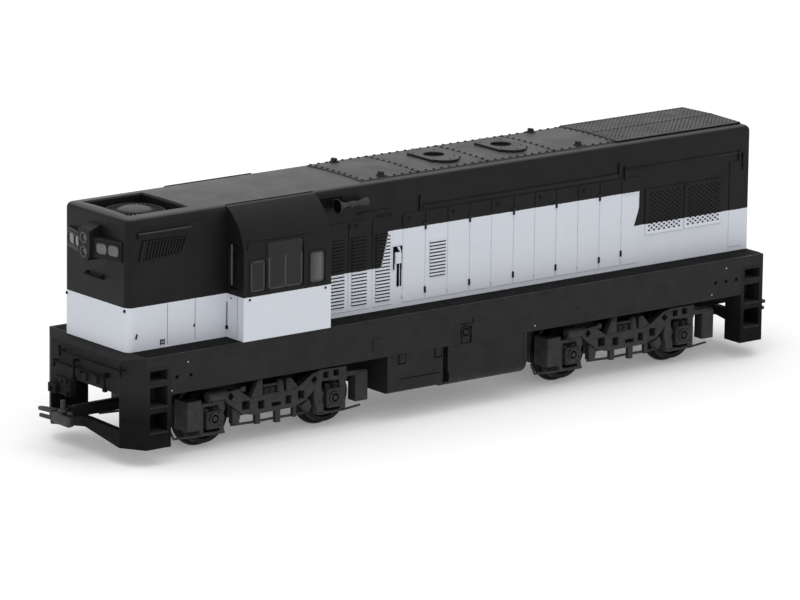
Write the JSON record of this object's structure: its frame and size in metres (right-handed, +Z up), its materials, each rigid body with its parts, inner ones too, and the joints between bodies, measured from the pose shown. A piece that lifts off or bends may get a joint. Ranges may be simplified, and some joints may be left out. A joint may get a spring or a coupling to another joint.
{
  "type": "model diesel locomotive",
  "caption": "Small-scale model of a hood diesel locomotive with a side-windowed cab, swivelling bogies, spinning wheelsets and swinging couplers.",
  "frame": {"origin": "centre of the bounding box's underside, on the floor under the wheel flanges", "axes": "+Z up, +Y along the length towards the long hood's end, +X across, to the side with the horn"},
  "size_m": [0.0332, 0.1792, 0.05],
  "materials": {
    "body_plastic": "satin painted black, with a white stripe",
    "frame_plastic": "satin moulded black",
    "coupler_plastic": "satin moulded black",
    "wheel_metal": "turned, slightly dull",
    "window_plastic": "smooth clear moulding",
    "lamp_plastic": "clear glossy",
    "board_plastic": "blank white"
  },
  "bodies": {
    "body": {"deck": "body_plastic", "side_sills": "body_plastic", "bolsters": "body_plastic", "pilot_front": "body_plastic", "pilot_rear": "body_plastic", "short_hood": "body_plastic", "cab": "body_plastic", "cab_windows": "window_plastic", "long_hood": "body_plastic", "roof_fan": "body_plastic", "roof_hatches": "body_plastic", "exhausts": "body_plastic", "roof_radiators": "body_plastic", "side_radiators": "body_plastic", "side_vents": "body_plastic", "lamp_housing_front": "body_plastic", "lamp_housing_rear": "body_plastic", "lamp_lenses_front": "lamp_plastic", "lamp_lenses_rear": "lamp_plastic", "number_boards_front": "board_plastic", "number_boards_rear": "board_plastic", "horn": "body_plastic", "equipment_box": "body_plastic", "fuel_tank": "body_plastic"},
    "bogie_front": {"gear_block_front": "frame_plastic", "side_frames_front": "frame_plastic", "frame_brackets_front": "frame_plastic", "frame_end_plates_front": "frame_plastic", "brake_gear_front": "frame_plastic"},
    "bogie_rear": {"gear_block_rear": "frame_plastic", "side_frames_rear": "frame_plastic", "frame_brackets_rear": "frame_plastic", "frame_end_plates_rear": "frame_plastic", "brake_gear_rear": "frame_plastic"},
    "wheelset_1": {"wheelset_1": "wheel_metal"},
    "wheelset_2": {"wheelset_2": "wheel_metal"},
    "wheelset_3": {"wheelset_3": "wheel_metal"},
    "wheelset_4": {"wheelset_4": "wheel_metal"},
    "coupler_front": {"coupler_front": "coupler_plastic"},
    "coupler_rear": {"coupler_rear": "coupler_plastic"}
  },
  "joints": [
    {"name": "front_bogie_swivel", "type": "hinge", "parent": "body", "child": "bogie_front", "pos_m": [0, -0.046, 0.018], "axis": [0, 0, 1], "range_deg": [-6, 6]},
    {"name": "rear_bogie_swivel", "type": "hinge", "parent": "body", "child": "bogie_rear", "pos_m": [0, 0.046, 0.018], "axis": [0, 0, 1], "range_deg": [-6, 6]},
    {"name": "wheelset_1_spin", "type": "hinge", "parent": "bogie_front", "child": "wheelset_1", "pos_m": [0, -0.061, 0.0066], "axis": [1, 0, 0], "continuous": true},
    {"name": "wheelset_2_spin", "type": "hinge", "parent": "bogie_front", "child": "wheelset_2", "pos_m": [0, -0.031, 0.0066], "axis": [1, 0, 0], "continuous": true},
    {"name": "wheelset_3_spin", "type": "hinge", "parent": "bogie_rear", "child": "wheelset_3", "pos_m": [0, 0.031, 0.0066], "axis": [1, 0, 0], "continuous": true},
    {"name": "wheelset_4_spin", "type": "hinge", "parent": "bogie_rear", "child": "wheelset_4", "pos_m": [0, 0.061, 0.0066], "axis": [1, 0, 0], "continuous": true},
    {"name": "coupler_front_swing", "type": "hinge", "parent": "bogie_front", "child": "coupler_front", "pos_m": [0, -0.071, 0.0091], "axis": [0, 0, 1], "range_deg": [-10, 10], "stiffness_Nm_per_rad": 0.0005},
    {"name": "coupler_rear_swing", "type": "hinge", "parent": "bogie_rear", "child": "coupler_rear", "pos_m": [0, 0.071, 0.0091], "axis": [0, 0, 1], "range_deg": [-10, 10], "stiffness_Nm_per_rad": 0.0005}
  ]
}
